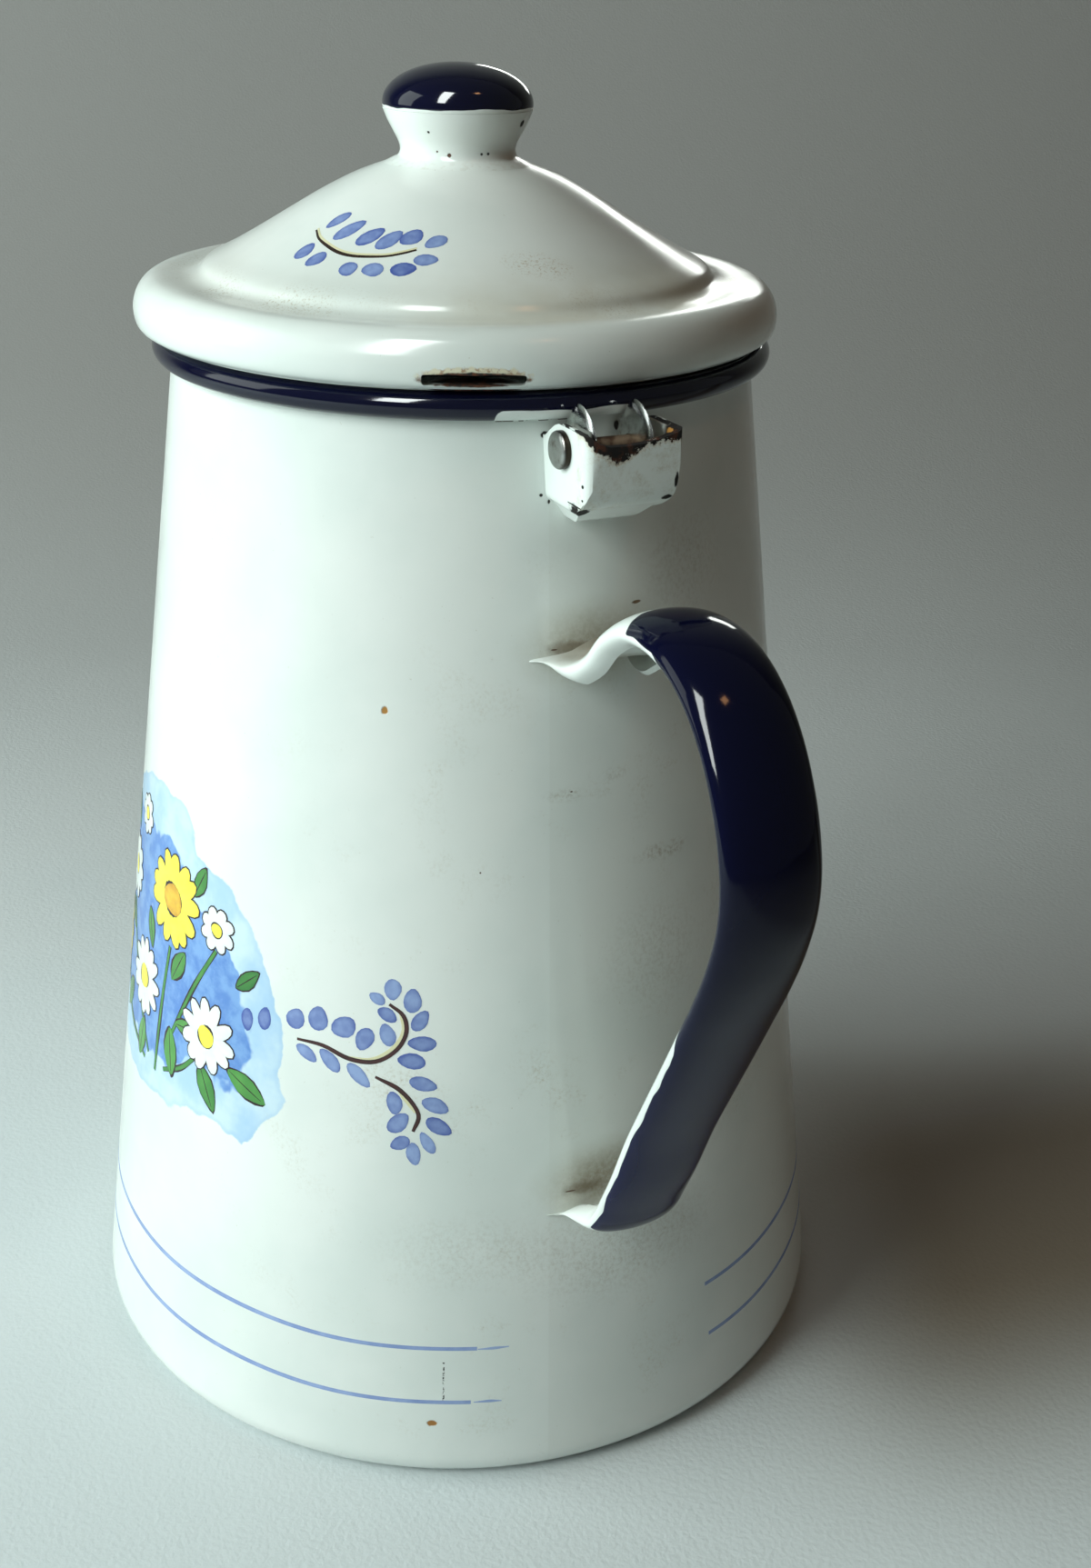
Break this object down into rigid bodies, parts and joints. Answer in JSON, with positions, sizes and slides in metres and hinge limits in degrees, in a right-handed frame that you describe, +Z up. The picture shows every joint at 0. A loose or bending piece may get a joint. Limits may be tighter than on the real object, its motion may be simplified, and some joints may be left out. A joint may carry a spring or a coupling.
{
  "type": "enamel coffee pot",
  "caption": "Tall tapered enamelled steel coffee pot with strap handle, swan-neck spout, hinge bracket and a loose bell-shaped lid with a waisted knob.",
  "frame": {"origin": "centre of the flat base, on the plane that the pot stands on", "axes": "+Z up along the pot's axis, +X towards the handle and the hinge bracket, -X towards the spout"},
  "size_m": [0.2322, 0.151, 0.2436],
  "materials": {
    "white_enamel": "cool white glossy vitreous enamel, chipped at the edges",
    "navy_enamel": "very dark navy glossy vitreous enamel",
    "hinge_steel": "bare worn steel"
  },
  "bodies": {
    "pot": {"body_shell": "white_enamel", "base_pan": "white_enamel", "spout": "white_enamel", "handle_strap": "navy_enamel", "hinge_bracket": "white_enamel", "hinge_pin": "hinge_steel"},
    "lid": {"lid_shell": "white_enamel", "lid_collar": "white_enamel", "knob_neck": "white_enamel", "knob_cap": "navy_enamel"},
    "leaf": {"hinge_leaf": "hinge_steel"}
  },
  "joints": [
    {"name": "lid_lift", "type": "slide", "parent": "pot", "child": "lid", "axis": [0, 0, 1], "range_m": [0, 0.08]},
    {"name": "leaf_swing", "type": "hinge", "parent": "pot", "child": "leaf", "pos_m": [0.05878, 0, 0.1913], "axis": [0, 1, 0], "range_deg": [-8, 100]}
  ]
}
